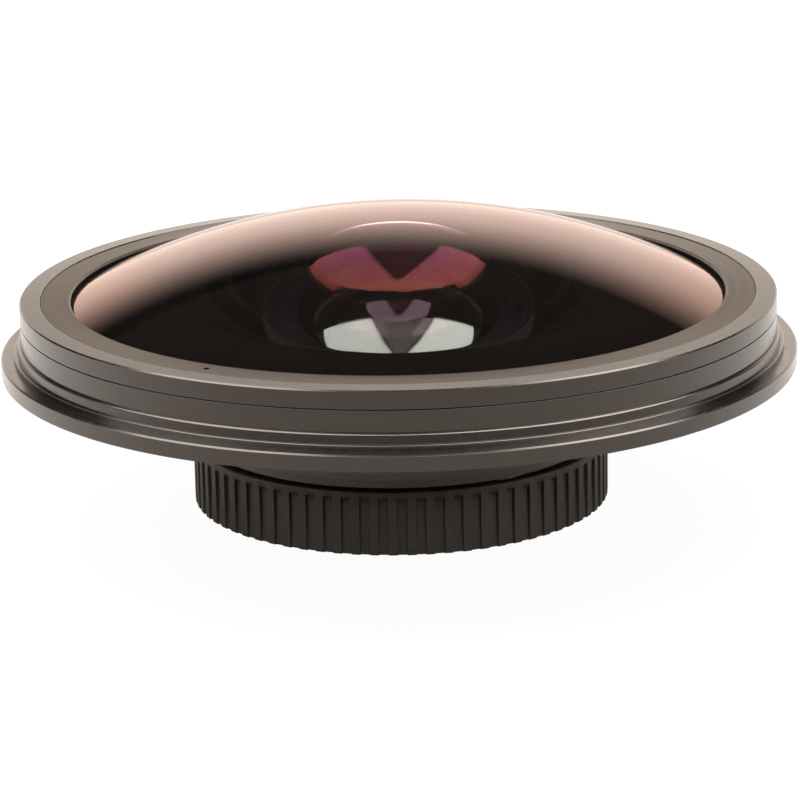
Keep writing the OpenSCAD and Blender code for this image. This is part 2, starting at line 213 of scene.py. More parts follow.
def arc(sphere_r, top, r_from, r_to, steps=LENS_STEPS):
    """Points of a sphere with its highest point at top, from one radius to another."""
    a_from = math.asin(r_from / sphere_r)
    a_to = math.asin(r_to / sphere_r)
    angles = [a_from + (a_to - a_from) * k / steps for k in range(steps + 1)]
    return [(sphere_r * math.sin(a), top - sphere_r * (1 - math.cos(a))) for a in angles]


# Meshes
def add_mesh(name, verts, faces, slots=None, sharp=SHARP_DEG):
    mesh = bpy.data.meshes.new(name)
    mesh.from_pydata([Vector(v) * MM for v in verts], [], faces)
    mesh.polygons.foreach_set("use_smooth", [True] * len(mesh.polygons))
    if slots:
        mesh.polygons.foreach_set("material_index", slots)
    mesh.set_sharp_from_angle(angle=math.radians(sharp))
    obj = bpy.data.objects.new(name, mesh)
    bpy.context.scene.collection.objects.link(obj)
    return obj


def turned(name, runs, segments=SEGMENTS):
    """Solid of revolution. Each run is (points, material slot). The runs join into one closed outline."""
    outline = []
    for points, slot in runs:
        for point in points:
            if outline and math.dist(outline[-1][0], point) < SAME_POINT:
                outline[-1] = (point, slot)
            else:
                outline.append((point, slot))
    if math.dist(outline[0][0], outline[-1][0]) < SAME_POINT:
        outline.pop()
    verts = []
    rows = []
    for (r, z), _ in outline:
        if r < SAME_POINT:
            rows.append([len(verts)] * segments)
            verts.append((0, 0, z))
            continue
        rows.append(list(range(len(verts), len(verts) + segments)))
        for i in range(segments):
            angle = 2 * math.pi * i / segments
            verts.append((r * math.cos(angle), r * math.sin(angle), z))
    area = sum(a[0][0] * b[0][1] - b[0][0] * a[0][1] for a, b in zip(outline, outline[1:] + outline[:1]))
    faces = []
    slots = []
    for k in range(len(outline)):
        this, following = rows[k], rows[(k + 1) % len(rows)]
        if this[0] == this[-1] and following[0] == following[-1]:
            continue
        for i in range(segments):
            j = (i + 1) % segments
            loop = [this[i], this[j], following[j], following[i]]
            loop = [v for n, v in enumerate(loop) if v not in loop[:n]]
            faces.append(loop if area > 0 else loop[::-1])
            slots.append(outline[k][1])
    return add_mesh(name, verts, faces, slots)


def ring(name, corners):
    return turned(name, [(rounded(corners), 0)])


def dress(obj, body, slot, materials, *nodes):
    """Gives a piece its finishes, its body and the nodes that it stands for."""
    for material in materials:
        obj.data.materials.append(material)
    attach(obj, body)
    if nodes:
        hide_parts(*nodes)
    return obj


# Finishes
class Finish:
    """A node material with helpers for coordinates, noise and maths."""

    def __init__(self, name, **values):
        self.material = bpy.data.materials.new(name)
        self.material.use_nodes = True
        self.tree = self.material.node_tree
        self.shader = self.tree.nodes["Principled BSDF"]
        self.coordinates = self.node("ShaderNodeTexCoord").outputs["Object"]
        for key, value in values.items():
            self.set(key, value)

    def set(self, key, value):
        socket = self.shader.inputs[key.replace("_", " ")]
        if hasattr(value, "is_linked"):
            self.tree.links.new(value, socket)
        elif isinstance(value, tuple):
            socket.default_value = (*value, 1)
        else:
            socket.default_value = value

    def node(self, kind, **links):
        node = self.tree.nodes.new(kind)
        for key, value in links.items():
            socket = node.inputs[int(key[1:])] if key[0] == "i" and key[1:].isdigit() else node.inputs[key]
            if hasattr(value, "is_linked"):
                self.tree.links.new(value, socket)
            else:
                socket.default_value = value
        return node

    def maths(self, operation, a, b=0.0):
        node = self.node("ShaderNodeMath", i0=a, i1=b)
        node.operation = operation
        return node.outputs[0]

    def noise(self, scale, detail=3.0, vector=None, roughness=0.5):
        node = self.node("ShaderNodeTexNoise", Scale=scale, Detail=detail, Roughness=roughness)
        self.tree.links.new(vector or self.coordinates, node.inputs["Vector"])
        return node.outputs["Fac"]

    def radius(self, scale):
        """Distance from the lens's axis in metres, times a scale."""
        x, y, _ = self.node("ShaderNodeSeparateXYZ", Vector=self.coordinates).outputs
        total = self.maths("ADD", self.maths("MULTIPLY", x, x), self.maths("MULTIPLY", y, y))
        return self.maths("MULTIPLY", self.maths("SQRT", total), scale)

    def turned_coordinates(self, along=1.0, across=1.0, around=0.05):
        """Coordinates that run with a lathe's cut: radius, height and a little of the angle."""
        parts = self.node("ShaderNodeSeparateXYZ", Vector=self.coordinates)
        x, y, z = parts.outputs
        angle = self.maths("ARCTAN2", y, x)
        vector = self.node("ShaderNodeCombineXYZ")
        self.tree.links.new(self.radius(across), vector.inputs[0])
        self.tree.links.new(self.maths("MULTIPLY", angle, around), vector.inputs[1])
        self.tree.links.new(self.maths("MULTIPLY", z, along), vector.inputs[2])
        return vector.outputs[0]

    def ramp(self, factor, dark, light, start=0.3, end=0.7):
        node = self.node("ShaderNodeValToRGB", Fac=factor)
        node.color_ramp.elements[0].position = start
        node.color_ramp.elements[0].color = (*dark, 1)
        node.color_ramp.elements[1].position = end
        node.color_ramp.elements[1].color = (*light, 1)
        return node.outputs["Color"]

    def spread(self, factor, low_value, high_value):
        node = self.node("ShaderNodeMapRange", Value=factor)
        node.inputs["From Min"].default_value = 0.3
        node.inputs["From Max"].default_value = 0.7
        node.inputs["To Min"].default_value = low_value
        node.inputs["To Max"].default_value = high_value
        return node.outputs["Result"]

    def round_shine(self, amount):
        """Spreads the shine along the circle about the lens's axis."""
        tangent = self.node("ShaderNodeTangent")
        tangent.direction_type = "RADIAL"
        tangent.axis = "Z"
        self.set("Tangent", tangent.outputs[0])
        self.set("Anisotropic", amount)

    def bump(self, height, strength, distance):
        node = self.node("ShaderNodeBump", Strength=strength, Distance=distance * MM, Height=height)
        if self.shader.inputs["Normal"].is_linked:
            self.tree.links.new(self.shader.inputs["Normal"].links[0].from_socket, node.inputs["Normal"])
        self.set("Normal", node.outputs["Normal"])


WARM_SHINE = (1.0, 0.87, 0.78)
CLEAR = (1.0, 1.0, 1.0)
TINT_REACH = 60
FILM_NM = 120.0


def anodised(name, low_rough, rough_range, around=0.0):
    """Satin dark brown-grey anodised aluminium, finely blasted. Its shine can spread around the axis."""
    finish = Finish(name, IOR=1.6, Specular_Tint=WARM_SHINE)
    finish.round_shine(around)
    cloud = finish.noise(60, 4)
    finish.set("Base Color", finish.ramp(cloud, (0.0085, 0.0070, 0.0060), (0.012, 0.0100, 0.0086)))
    finish.set("Roughness", finish.spread(finish.noise(900, 3), low_rough, low_rough + rough_range))
    finish.bump(finish.noise(5200, 2), 0.06, 0.02)
    finish.bump(finish.noise(1.0, 3, finish.turned_coordinates(2600, 2600, 1.2)), 0.03, 0.02)
    return finish.material


def turned_brown():
    """Browner ring with fine marks of the cutting tool."""
    finish = Finish("ring_metal", IOR=1.6, Specular_IOR_Level=0.42, Specular_Tint=WARM_SHINE)
    finish.round_shine(0.8)
    lines = finish.noise(1.0, 4, finish.turned_coordinates(4200, 4200, 0.8), 0.65)
    finish.set("Base Color", finish.ramp(lines, (0.017, 0.0115, 0.0075), (0.027, 0.0185, 0.0125)))
    finish.set("Roughness", finish.spread(lines, 0.30, 0.40))
    finish.bump(lines, 0.2, 0.02)
    return finish.material


def blackened():
    """Matt black anodised inner metal."""
    finish = Finish("blackened_metal", Roughness=0.6, IOR=1.45, Specular_IOR_Level=0.1)
    cloud = finish.noise(400, 4)
    finish.set("Base Color", finish.ramp(cloud, (0.0010, 0.0008, 0.0008), (0.0018, 0.0015, 0.0014)))
    finish.set("Roughness", finish.spread(finish.noise(1500, 2), 0.5, 0.7))
    finish.bump(finish.noise(1.0, 2, finish.turned_coordinates(3000, 3000, 0.5)), 0.15, 0.02)
    return finish.material


def ground_paint():
    """Black paint on the ground edges of the lenses: it wets the glass, so it has no shine of its own."""
    finish = Finish("edge_paint", Roughness=0.7, Specular_IOR_Level=0.0)
    cloud = finish.noise(800, 3)
    finish.set("Base Color", finish.ramp(cloud, (0.0026, 0.0021, 0.0018), (0.0038, 0.0031, 0.0027)))
    finish.bump(finish.noise(3000, 2), 0.1, 0.02)
    return finish.material


def moulded():
    """Matt moulded plastic of the cap with a fine spark-eroded grain."""
    finish = Finish("cap_plastic", Roughness=0.6, IOR=1.48, Specular_Tint=WARM_SHINE)
    cloud = finish.noise(120, 4)
    finish.set("Base Color", finish.ramp(cloud, (0.011, 0.0092, 0.0068), (0.015, 0.0126, 0.0094)))
    finish.set("Roughness", finish.spread(finish.noise(1400, 3), 0.52, 0.66))
    finish.bump(finish.noise(3600, 2), 0.22, 0.03)
    return finish.material


def rubber():
    """Matt black rubber of the seals."""
    finish = Finish("seal_rubber", Roughness=0.8, IOR=1.5)
    cloud = finish.noise(700, 3)
    finish.set("Base Color", finish.ramp(cloud, (0.009, 0.009, 0.009), (0.015, 0.015, 0.014)))
    finish.bump(finish.noise(2500, 2), 0.2, 0.02)
    return finish.material


def oxide_steel():
    """Black-oxide screw steel."""
    finish = Finish("screw_steel", Metallic=1.0, Roughness=0.4)
    cloud = finish.noise(1500, 3)
    finish.set("Base Color", finish.ramp(cloud, (0.05, 0.048, 0.046), (0.085, 0.082, 0.078)))
    finish.set("Roughness", finish.spread(finish.noise(2500, 2), 0.32, 0.5))
    return finish.material


def coated(name, tint, rim_tint=None, rim_span=(41, 56), clarity=1.0, haze=(1.0, 0.93, 0.88)):
    """Polished lens face under a coating that tints its mirror image. Below full clarity it is hazy.

    A film of the glass's own index changes no strength by itself. It lets the tint reach slanting light.
    On a steep face the coating thins towards the rim and turns to rim_tint over the radii rim_span.
    """
    finish = Finish(name, Roughness=0.0, IOR=GLASS_IOR, Transmission_Weight=clarity, Specular_Tint=tint)
    if rim_tint:
        start, end = (r / TINT_REACH for r in rim_span)
        share = finish.radius(1 / (TINT_REACH * MM))
        finish.set("Specular Tint", finish.ramp(share, tint, rim_tint, start, end))
    finish.set("Thin Film Thickness", FILM_NM)
    finish.set("Thin Film IOR", GLASS_IOR)
    finish.set("Base Color", haze if clarity < 1 else CLEAR)
    return finish.material


def cemented():
    """The joint of the two cemented lenses, which neither bends nor mirrors light."""
    finish = Finish("cemented_face", Roughness=0.0, IOR=1.0, Transmission_Weight=1.0, Base_Color=CLEAR)
    return finish.material


ANODISED = anodised("anodised_metal", 0.18, 0.07)
FACED = anodised("anodised_face", 0.20, 0.02, 0.85)
TURNED_BROWN = turned_brown()
BLACKENED = blackened()
EDGE_PAINT = ground_paint()
MOULDED = moulded()
RUBBER = rubber()
OXIDE = oxide_steel()
FRONT_COAT = coated("front_coating", (1.0, 0.745, 0.70), (1.0, 0.66, 0.57), clarity=0.998)
HOLLOW_COAT = coated("hollow_coating", (0.36, 0.080, 0.150), (0.42, 0.095, 0.060), (16, 25))
SECOND_COAT = coated("second_coating", (1.0, 1.0, 0.93))
INNER_COAT = coated("inner_coating", (0.22, 0.14, 0.18))
CEMENT = cemented()


# Lenses
def front_glass():
    hollow_top = DOME_TOP - GLASS_CENTRE_T
    mouth_r = math.sqrt(HOLLOW_R**2 - (GLASS_LOW - hollow_top + HOLLOW_R) ** 2)
    edge_top = DOME_TOP - crown(DOME_R, GLASS_R)
    runs = [
        (arc(HOLLOW_R, hollow_top, 0, mouth_r), 1),
        ([(mouth_r, GLASS_LOW), (BOSS_R, GLASS_LOW), (BOSS_R, GLASS_SEAT - BOSS_FLARE_H)], 2),
        ([(BOSS_R + BOSS_FLARE, GLASS_SEAT), (GLASS_R, GLASS_SEAT)], 2),
        ([(GLASS_R, GLASS_SEAT), (GLASS_R, edge_top)], 2),
        (arc(DOME_R, DOME_TOP, GLASS_R, 0), 0),
    ]
    glass = turned("front_glass", runs)
    dress(glass, "lens", "coated_glass", [FRONT_COAT, HOLLOW_COAT, EDGE_PAINT], "front_element")


def second_glass():
    hollow_top = SECOND_TOP - SECOND_CENTRE_T
    mouth_r = math.sqrt(SECOND_HOLLOW_R**2 - (SECOND_LOW - hollow_top + SECOND_HOLLOW_R) ** 2)
    edge_top = SECOND_TOP - crown(SECOND_DOME_R, SECOND_R)
    runs = [
        (arc(SECOND_HOLLOW_R, hollow_top, 0, mouth_r), 1),
        ([(mouth_r, SECOND_LOW), (SECOND_R, SECOND_LOW), (SECOND_R, edge_top)], 2),
        (arc(SECOND_DOME_R, SECOND_TOP, SECOND_R, 0), 0),
    ]
    glass = turned("second_glass", runs)
    dress(glass, "lens", "inner_glass", [SECOND_COAT, INNER_COAT, EDGE_PAINT], "second_element")


def rear_pair():
    joint_high = JOINT_EDGE + crown(DOUBLET_JOINT_R, DOUBLET_R)
    edge_top = DOUBLET_TOP - crown(DOUBLET_FRONT_R, DOUBLET_R)
    front_runs = [
        (arc(DOUBLET_JOINT_R, joint_high, 0, DOUBLET_R), 1),
        ([(DOUBLET_R, JOINT_EDGE), (DOUBLET_R, edge_top)], 2),
        (arc(DOUBLET_FRONT_R, DOUBLET_TOP, DOUBLET_R, 0), 0),
    ]
    front = turned("doublet_front_glass", front_runs)
    dress(front, "lens", "inner_glass", [INNER_COAT, CEMENT, EDGE_PAINT], "doublet_front")
    rear_edge = JOINT_TOP - crown(DOUBLET_JOINT_R, DOUBLET_R)
    rear_runs = [
        ([(0, REAR_FACE), (DOUBLET_R, REAR_FACE)], 0),
        ([(DOUBLET_R, REAR_FACE), (DOUBLET_R, rear_edge)], 2),
        (arc(DOUBLET_JOINT_R, JOINT_TOP, DOUBLET_R, 0), 1),
    ]
    rear = turned("doublet_rear_glass", rear_runs)
    dress(rear, "lens", "inner_glass", [INNER_COAT, CEMENT, EDGE_PAINT], "doublet_rear")


# Metal of the front
def front_metal():
    """Outer ring, with its top sloped a little outwards."""
    low_edge = BARREL_TOP + PARTING_SEEN
    corners = [
        (RING_BORE_R, SKIRT_LOW, 0), (SKIRT_R, SKIRT_LOW, 0), (SKIRT_R, low_edge, 0),
        (RIM_R, low_edge, EDGE_BREAK), (RIM_R, TOP - RIM_SLOPE - RIM_BEVEL, 0),
        (RIM_R - RIM_BEVEL, TOP - RIM_SLOPE, 0), (RING_BORE_R, TOP, GROOVE_BEVEL),
    ]
    face_from = RING_BORE_R + 2 * GROOVE_BEVEL
    face_low = TOP - RIM_SLOPE - FIT / 2
    runs = [([(r, z)], 1 if r > face_from and z > face_low else 0) for r, z in rounded(corners)]
    dress(turned("front_ring_metal", runs), "lens", "anodised_metal", [ANODISED, FACED], "front_ring")


def barrel_metal():
    flange_top = FLANGE_LOW + FLANGE_T
    low_ledge = flange_top + LOW_LEDGE_H
    high_ledge = low_ledge + HIGH_LEDGE_H
    floor = FLANGE_LOW + FLOOR_T
    seal_seat = SKIRT_LOW - FIT
    pocket_r = GLASS_R + FIT
    bore_r = GUIDE_R + FIT
    corners = [
        (bore_r, FLANGE_LOW, 0), (FLANGE_R, FLANGE_LOW, FLANGE_LOWER_BEVEL),
        (FLANGE_R, flange_top - FLANGE_BEVEL, EDGE_ROUND), (FLANGE_R - FLANGE_BEVEL, flange_top, EDGE_ROUND),
        (LOW_LEDGE_R, flange_top, 0), (LOW_LEDGE_R, low_ledge, LOW_LEDGE_BEVEL),
        (LEDGE_FOOT_R, low_ledge, 0), (HIGH_LEDGE_R, high_ledge, HIGH_LEDGE_BEVEL), (RIM_R, high_ledge, 0),
        (RIM_R, BARREL_TOP, EDGE_BREAK), (WALL_BORE_R, BARREL_TOP, 0),
        (WALL_BORE_R, seal_seat, 0), (pocket_r, seal_seat, 0), (pocket_r, floor, 0), (bore_r, floor, 0),
    ]
    dress(ring("barrel_metal", corners), "lens", "anodised_metal", [ANODISED], "main_barrel")


def cut(obj, tool):
    """Takes the shape of a tool out of a piece."""
    change = obj.modifiers.new("cut", "BOOLEAN")
    change.operation = "DIFFERENCE"
    change.solver = "EXACT"
    change.object = tool
    bpy.context.view_layer.update()
    mesh = bpy.data.meshes.new_from_object(obj.evaluated_get(bpy.context.evaluated_depsgraph_get()))
    obj.modifiers.clear()
    obj.data = mesh
    mesh.set_sharp_from_angle(angle=math.radians(SHARP_DEG))
    bpy.data.objects.remove(tool)


def holder():
    """Ring that holds the front glass: bevelled and blackened inside, with two spanner holes."""
    edge_low = DOME_TOP - crown(DOME_R, GLASS_R) + 2 * FIT
    corners = [
        (GLASS_LIP_R, TOP - GLASS_LIP_H, 0), (HOLDER_R, edge_low, 0),
        (HOLDER_R, TOP - HOLDER_SLOPE, GROOVE_BEVEL),
        (GLASS_LIP_R + HOLDER_BEVEL, TOP, EDGE_ROUND), (GLASS_LIP_R, TOP - HOLDER_BEVEL, 0.05),
    ]
    black_to = GLASS_LIP_R + HOLDER_BEVEL / 2
    runs = [([(r, z)], 1 if r < black_to else 0) for r, z in rounded(corners)]
    metal = turned("holder_metal", runs)
    metal.data.materials.append(TURNED_BROWN)
    metal.data.materials.append(BLACKENED)
    middle = (GLASS_LIP_R + HOLDER_R) / 2
    for turn in (SPANNER_TURN, SPANNER_TURN + math.pi):
        tool = [(0, 0), (SPANNER_D / 2, 0), (SPANNER_D / 2, SPANNER_TOOL_H), (0, SPANNER_TOOL_H)]
        hole = turned("spanner_hole", [(tool, 0)], 24)
        place = Vector((middle * math.cos(turn), middle * math.sin(turn), TOP - SPANNER_DEPTH))
        hole.location = place * MM
        cut(metal, hole)
    dress(metal, "lens", "ring_metal", [], "front_retaining_ring")


# Mount and cap
def helix(name, root_r, crest_r, z_from, z_to, width, crest=THREAD_CREST_W, steps=180):
    """Screw thread: a ridge on a round wall, with its ends run out over a quarter turn."""
    turns = (z_to - z_from) / THREAD_PITCH
    count = int(turns * steps)
    verts = []
    for k in range(count + 1):
        angle = 2 * math.pi * k / steps
        z = z_from + (z_to - z_from) * k / count
        grow = min(1.0, 4 * k / steps, 4 * (count - k) / steps)
        top_r = root_r + (crest_r - root_r) * grow
        for r, rise in ((root_r, -width), (top_r, -crest), (top_r, crest), (root_r, width)):
            verts.append((r * math.cos(angle), r * math.sin(angle), z + rise / 2))
    faces = [(0, 1, 2, 3), (4 * count + 3, 4 * count + 2, 4 * count + 1, 4 * count)]
    for k in range(count):
        for i in range(4):
            j = (i + 1) % 4
            faces.append((4 * k + i, 4 * k + 4 + i, 4 * k + 4 + j, 4 * k + j))
    if crest_r < root_r:
        faces = [face[::-1] for face in faces]
    return add_mesh(name, verts, faces)


def mount():
    root_r = THREAD_R - THREAD_DEPTH
    corners = [
        (MOUNT_BORE_R, THREAD_END, 0.15), (root_r, THREAD_END, 0.3),
        (root_r, NECK_LOW, 0), (NECK_R, NECK_LOW, 0.1), (NECK_R, SHOULDER_LOW, 0),
        (SHOULDER_R, SHOULDER_LOW, 0.12), (SHOULDER_R, HUB_LOW, 0),
        (SPIGOT_R, HUB_LOW, 0), (SPIGOT_R, SPIGOT_TOP, 0), (MOUNT_BORE_R, SPIGOT_TOP, 0.1),
    ]
    dress(ring("mount_metal", corners), "lens", "anodised_metal", [ANODISED], "mount_ring")
    thread = helix(
        "mount_thread", root_r - THREAD_SUNK, THREAD_R,
        THREAD_END + MOUNT_THREAD_START, NECK_LOW - THREAD_RUNOUT, MOUNT_THREAD_W,
    )
    dress(thread, "lens", "anodised_metal", [ANODISED])


def cap():
    """Moulded cap: grip ribs under a smooth lip, an open bore with a thread, and a dished underside.

    The rows of its outline are (radius, height, share of the groove's depth). Its columns follow the ribs.
    """
    lip_low = CAP_H - CAP_LIP
    pitch = 2 * math.pi / RIB_COUNT
    half = GROOVE_W / 2
    steps = [0.0] + [half + share * GROOVE_ROUND for share in (-2, -1, -0.6, -0.3, 0, 0.3, 0.6, 1, 2)]
    across = [-d for d in steps[:0:-1]] + steps

    def depth(d):
        """Depth of the groove at a distance from its middle, with rounded edges."""
        t = min(1.0, max(0.0, (half + GROOVE_ROUND - abs(d)) / (2 * GROOVE_ROUND)))
        return RIB_DEPTH * t * t * (3 - 2 * t)

    columns = []
    for i in range(RIB_COUNT):
        for d in across:
            columns.append((i * pitch + d / CAP_R, depth(d)))
    turns = [k * math.pi / 8 for k in range(5)]
    bevel = [(CAP_BEVEL * math.sin(a), CAP_BEVEL * math.cos(a)) for a in turns]
    rows = [(0, DISH_DEPTH, 0), (DISH_R - 0.5, DISH_DEPTH, 0), (DISH_R - 0.2, DISH_DEPTH - 0.06, 0)]
    rows += [(DISH_R, DISH_DEPTH / 2, 0), (DISH_R + 0.2, 0.06, 0), (DISH_R + 0.5, 0, 0)]
    rows += [(CAP_R - CAP_BEVEL + x, CAP_BEVEL - y, FOOT_SHARE) for x, y in bevel]
    rows += [(CAP_R, CAP_H / 2, 1), (CAP_R, lip_low - 1.2, 1)]
    rows += [(CAP_R, lip_low - 0.5, 1), (CAP_R, lip_low - 0.3, 0.85)]
    rows += [(CAP_R, lip_low - 0.15, 0.5), (CAP_R, lip_low, 0.15), (CAP_R, lip_low + 0.15, 0)]
    rows += [(CAP_R, CAP_H - CAP_BEVEL - 0.02, 0)]
    rows += [(CAP_R - CAP_BEVEL + y, CAP_H - CAP_BEVEL + x, 0) for x, y in bevel]
    rows += [(CAP_BORE_R + 0.3, CAP_H, 0), (CAP_BORE_R + 0.1, CAP_H - 0.08, 0)]
    rows += [(CAP_BORE_R, CAP_H - 0.3, 0), (CAP_BORE_R, CAP_FLOOR + 0.4, 0)]
    rows += [(CAP_BORE_R - 0.12, CAP_FLOOR + 0.12, 0), (CAP_BORE_R - 0.4, CAP_FLOOR, 0), (0, CAP_FLOOR, 0)]
    verts = []
    loops = []
    for r, z, cut_share in rows:
        if r == 0:
            loops.append([len(verts)] * len(columns))
            verts.append((0, 0, z))
            continue
        loops.append(list(range(len(verts), len(verts) + len(columns))))
        for angle, groove in columns:
            here = r - groove * cut_share
            verts.append((here * math.cos(angle), here * math.sin(angle), z))
    faces = []
    for this, following in zip(loops, loops[1:]):
        for i in range(len(columns)):
            j = (i + 1) % len(columns)
            loop = [this[i], this[j], following[j], following[i]]
            faces.append([v for n, v in enumerate(loop) if v not in loop[:n]])
    dress(add_mesh("cap_moulding", verts, faces, sharp=50), "cap", "cap_plastic", [MOULDED], "rear_cap")
    crest_r = CAP_BORE_R - CAP_THREAD_DEPTH
    thread = helix(
        "cap_thread", CAP_BORE_R + THREAD_SUNK, crest_r,
        CAP_FLOOR + CAP_THREAD_START, CAP_H - THREAD_RUNOUT, CAP_THREAD_W,
    )
    dress(thread, "cap", "cap_plastic", [MOULDED])


def baffle():
    """Blackened cone in front of the second lens, cut in fine steps."""
    inner_r = SECOND_LIP_R + FIT
    top = high("light_baffle")
    stairs = []
    for k in range(BAFFLE_STEPS):
        next_r = inner_r + (BAFFLE_MOUTH_R - inner_r) * (k + 1) / BAFFLE_STEPS
        low_z = BAFFLE_LOW + (top - BAFFLE_LOW) * k / BAFFLE_STEPS
        next_z = BAFFLE_LOW + (top - BAFFLE_LOW) * (k + 1) / BAFFLE_STEPS
        stairs += [(next_r - 0.04, low_z + 0.04), (next_r, next_z - 0.02)]
    outline = [(inner_r, BAFFLE_LOW), (BAFFLE_R, BAFFLE_LOW), (BAFFLE_R, top), (BAFFLE_MOUTH_R, top)]
    metal = turned("baffle_metal", [(outline + stairs[::-1], 0)], 240)
    dress(metal, "lens", "blackened_metal", [BLACKENED], "light_baffle")


front_glass()
second_glass()
rear_pair()
front_metal()
barrel_metal()
holder()
mount()
cap()
baffle()

NODE_FINISH = {
    "anodised_metal": ANODISED, "ring_metal": TURNED_BROWN, "blackened_metal": BLACKENED,
    "screw_steel": OXIDE, "seal_rubber": RUBBER, "cap_plastic": MOULDED,
}
for part in frame["record"]["subparts"]:
    finish_of_slot = NODE_FINISH.get(part["material_slot"])
    if finish_of_slot:
        node_mesh = frame["nodes"][part["node"]].data
        node_mesh.materials.clear()
        node_mesh.materials.append(finish_of_slot)


# Studio, in metres
DEEP_FACES = 3


def light_path(tree, *outputs):
    """What the light path gives for the named kinds of ray: the largest, if there are more than one."""
    node = tree.nodes.new("ShaderNodeLightPath")
    total = node.outputs[outputs[0]]
    for name in outputs[1:]:
        join = tree.nodes.new("ShaderNodeMath")
        join.operation = "MAXIMUM"
        tree.links.new(total, join.inputs[0])
        tree.links.new(node.outputs[name], join.inputs[1])
        total = join.outputs[0]
    return total


def edge_fade(tree, start, inward, width):
    """0 at the point start, rising smoothly to 1 over a width along the direction inward."""
    place = tree.nodes.new("ShaderNodeTexCoord").outputs["Object"]
    along = tree.nodes.new("ShaderNodeVectorMath")
    along.operation = "DOT_PRODUCT"
    inward = Vector(inward).normalized()
    tree.links.new(place, along.inputs[0])
    along.inputs[1].default_value = inward
    fade = tree.nodes.new("ShaderNodeMapRange")
    fade.interpolation_type = "SMOOTHSTEP"
    tree.links.new(along.outputs["Value"], fade.inputs["Value"])
    fade.inputs["From Min"].default_value = inward.dot(Vector(start))
    fade.inputs["From Max"].default_value = inward.dot(Vector(start)) + width
    return fade.outputs["Result"]


def card(name, corners, strength, colour=(1, 1, 1), fades=(), seen=("mirror", "glass"), deep=1.0):
    """Glowing panel that the camera can't see. It shows in mirrors or through glass, or lights matt faces.

    Behind more than DEEP_FACES faces of glass it counts for the share deep.
    """
    mesh = bpy.data.meshes.new(name)
    mesh.from_pydata(corners, [], [(0, 1, 2, 3)])
    obj = bpy.data.objects.new(name, mesh)
    bpy.context.scene.collection.objects.link(obj)
    material = bpy.data.materials.new(name)
    material.use_nodes = True
    tree = material.node_tree
    tree.nodes.clear()
    glow = tree.nodes.new("ShaderNodeEmission")
    glow.inputs["Color"].default_value = (*colour, 1)
    glow.inputs["Strength"].default_value = strength
    level = None
    for fade in fades:
        join = tree.nodes.new("ShaderNodeMath")
        join.operation = "MULTIPLY"
        join.inputs[0].default_value = strength
        if level:
            tree.links.new(level, join.inputs[0])
        tree.links.new(edge_fade(tree, *fade), join.inputs[1])
        level = join.outputs[0]
    if deep < 1:
        inside = tree.nodes.new("ShaderNodeMapRange")
        tree.links.new(light_path(tree, "Transmission Depth"), inside.inputs["Value"])
        inside.inputs["From Min"].default_value = DEEP_FACES
        inside.inputs["From Max"].default_value = DEEP_FACES + 1
        inside.inputs["To Min"].default_value = 1
        inside.inputs["To Max"].default_value = deep
        join = tree.nodes.new("ShaderNodeMath")
        join.operation = "MULTIPLY"
        tree.links.new(level, join.inputs[0])
        tree.links.new(inside.outputs["Result"], join.inputs[1])
        level = join.outputs[0]
    if level:
        tree.links.new(level, glow.inputs["Strength"])
    out = tree.nodes.new("ShaderNodeOutputMaterial")
    tree.links.new(glow.outputs[0], out.inputs[0])
    mesh.materials.append(material)
    obj.visible_camera = False
    obj.visible_diffuse = "matt" in seen
    obj.visible_glossy = "mirror" in seen
    obj.visible_transmission = "glass" in seen
    obj.visible_shadow = False


# Two overhead softboxes, whose inner edges form a V that opens to the back
PANEL_Z = 0.5
PANEL_FRONT = -1.2
PANEL_BACK = 0.11
PANEL_OUTER = 2.0
PANEL_APEX = -0.57
PANEL_LIGHT = 6.6
LAMP_FRONT = 0.0
LAMP_BACK = 0.9
LAMP_OUTER = {-1: 0.85, 1: 0.5}
for side, mirror, notch, glow_seen in (("left", -1, 0.31, 9.2), ("right", 1, 0.46, 12.0)):
    inner_front = mirror * notch * (PANEL_FRONT - PANEL_APEX)
    inner_back = mirror * notch * (PANEL_BACK - PANEL_APEX)
    quad = [
        (mirror * PANEL_OUTER, PANEL_BACK, PANEL_Z), (mirror * PANEL_OUTER, PANEL_FRONT, PANEL_Z),
        (inner_front, PANEL_FRONT, PANEL_Z), (inner_back, PANEL_BACK, PANEL_Z),
    ]
    soft_edges = [
        ((inner_back, PANEL_BACK, PANEL_Z), (mirror, -notch, 0), 0.06),
        ((0, PANEL_BACK, PANEL_Z), (0, -1, 0), 0.07),
        ((mirror * PANEL_OUTER, 0, PANEL_Z), (-mirror, 0, 0), 0.3),
    ]
    card("softbox_" + side, quad, glow_seen, fades=soft_edges)
    lamp_x = mirror * LAMP_OUTER[mirror]
    lamp_quad = [
        (lamp_x, LAMP_BACK, PANEL_Z), (lamp_x, LAMP_FRONT, PANEL_Z),
        (0, LAMP_FRONT, PANEL_Z), (0, LAMP_BACK, PANEL_Z),
    ]
    card("lamp_" + side, lamp_quad, PANEL_LIGHT, seen=("matt",))

# Dim ceiling, seen between the softboxes
CEILING_Z = 1.0
CEILING_HALF = 0.6
CEILING_FRONT = -1.2
CEILING_BACK = 0.2
ceiling_quad = [
    (-CEILING_HALF, CEILING_FRONT, CEILING_Z), (CEILING_HALF, CEILING_FRONT, CEILING_Z),
    (CEILING_HALF, CEILING_BACK, CEILING_Z), (-CEILING_HALF, CEILING_BACK, CEILING_Z),
]
back_fade = [((0, CEILING_BACK, CEILING_Z), (0, -1, 0), 0.3)]
for name, strength, kind in (("ceiling", 0.6, "mirror"), ("ceiling_in_glass", 1.3, "glass")):
    card(name, ceiling_quad, strength, (1, 0.87, 0.80), back_fade, seen=(kind,))

